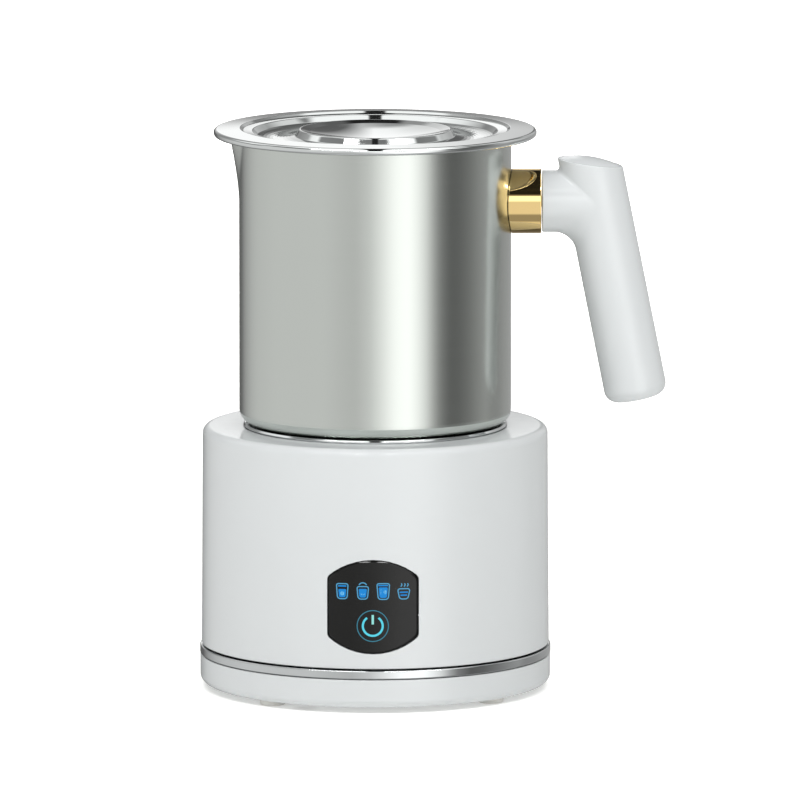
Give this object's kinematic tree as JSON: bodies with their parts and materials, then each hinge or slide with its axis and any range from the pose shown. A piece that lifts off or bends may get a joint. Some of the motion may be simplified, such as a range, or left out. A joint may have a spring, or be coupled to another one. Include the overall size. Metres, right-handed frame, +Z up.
{
  "type": "milk frother",
  "caption": "Induction milk frother: a white cylindrical base with a touch window, a steel jug with a side handle that lifts off it, a magnetic whisk and a pressed steel lid.",
  "frame": {"origin": "on the axis of the base at the level of the worktop, under the raised pad of the plinth", "axes": "+Z up, +X towards the handle, -X towards the spout, -Y towards the control window"},
  "size_m": [0.1728, 0.1302, 0.2091],
  "materials": {
    "white_gloss_plastic": "glossy moulded, white",
    "white_gloss_handle": "glossy moulded, white",
    "chrome_plate": "mirror bright",
    "satin_steel": "satin",
    "polished_steel": "polished",
    "zinc_steel": "zinc plated",
    "magnetic_steel": "satin",
    "gold_plate": "polished gold tone",
    "brass": "machined",
    "black_glass": "glossy black",
    "dark_window": "glossy dark, with lit symbols",
    "clear_plastic": "frosted",
    "circuit_board": "solder mask",
    "lamp_blue": "lit",
    "foot_rubber": "matt",
    "former_plastic": "matt",
    "magnet_plate": "nickel plated",
    "magnet_nickel": "nickel plated",
    "copper_winding": "enamelled wire",
    "ferrite": "matt",
    "capacitor_sleeve": "satin",
    "aluminium": "plain",
    "black_plastic": "matt",
    "grey_plastic": "satin",
    "silicone": "matt"
  },
  "bodies": {
    "base": {"bottom_cover": "white_gloss_plastic", "foot_1": "foot_rubber", "foot_2": "foot_rubber", "foot_3": "foot_rubber", "foot_4": "foot_rubber", "cover_screw_1": "zinc_steel", "cover_screw_2": "zinc_steel", "cover_screw_3": "zinc_steel", "trim_ring": "chrome_plate", "housing": "white_gloss_plastic", "seat_ring": "chrome_plate", "seat_plate": "black_glass", "control_window": "dark_window", "light_guide": "clear_plastic", "control_board": "circuit_board", "indicator_led_1": "lamp_blue", "indicator_led_2": "lamp_blue", "indicator_led_3": "lamp_blue", "indicator_led_4": "lamp_blue", "indicator_led_5": "lamp_blue", "motor_can": "zinc_steel", "motor_bracket": "zinc_steel", "motor_screw_1": "zinc_steel", "motor_screw_2": "zinc_steel", "bracket_screw_1": "zinc_steel", "bracket_screw_2": "zinc_steel", "coil_former": "former_plastic", "induction_coil": "copper_winding", "ferrite_bar_1": "ferrite", "ferrite_bar_2": "ferrite", "ferrite_bar_3": "ferrite", "ferrite_bar_4": "ferrite", "sensor_spring": "zinc_steel", "power_board": "circuit_board", "bulk_capacitor": "capacitor_sleeve", "heat_sink": "aluminium", "power_inlet": "black_plastic", "inlet_pin_1": "magnet_plate", "inlet_pin_2": "magnet_plate"},
    "rotor": {"motor_shaft": "zinc_steel", "magnet_carrier": "former_plastic", "drive_magnet_1": "magnet_plate", "drive_magnet_2": "magnet_plate"},
    "sensor": {"sensor_cap": "zinc_steel"},
    "jug": {"jug_shell": "satin_steel", "jug_base_disc": "magnetic_steel", "whisk_post": "polished_steel", "handle_stud": "polished_steel", "handle_insert": "brass", "handle_collar": "gold_plate", "handle_grip": "white_gloss_handle", "handle_cap": "white_gloss_handle"},
    "whisk": {"whisk_hub": "grey_plastic", "whisk_coil": "polished_steel", "whisk_magnet_1": "magnet_nickel", "whisk_magnet_2": "magnet_nickel"},
    "lid": {"lid_shell": "polished_steel", "lid_liner": "grey_plastic", "lid_seal": "silicone"}
  },
  "joints": [
    {"name": "jug_lift", "type": "slide", "parent": "base", "child": "jug", "axis": [0, 0, 1], "range_m": [0, 0.06]},
    {"name": "lid_lift", "type": "slide", "parent": "jug", "child": "lid", "axis": [0, 0, 1], "range_m": [0, 0.05]},
    {"name": "drive_spin", "type": "hinge", "parent": "base", "child": "rotor", "pos_m": [0, 0, 0.08], "axis": [0, 0, 1], "continuous": true},
    {"name": "whisk_spin", "type": "hinge", "parent": "jug", "child": "whisk", "pos_m": [0, 0, 0.1], "axis": [0, 0, 1], "continuous": true},
    {"name": "sensor_press", "type": "slide", "parent": "base", "child": "sensor", "axis": [0, 0, 1], "range_m": [-0.0015, 0], "stiffness_N_per_m": 300, "springref_m": 0.003, "deforming": ["sensor_spring"]}
  ],
  "couplings": [
    {"joint": "whisk_spin", "follows": "drive_spin", "ratio": 1}
  ]
}
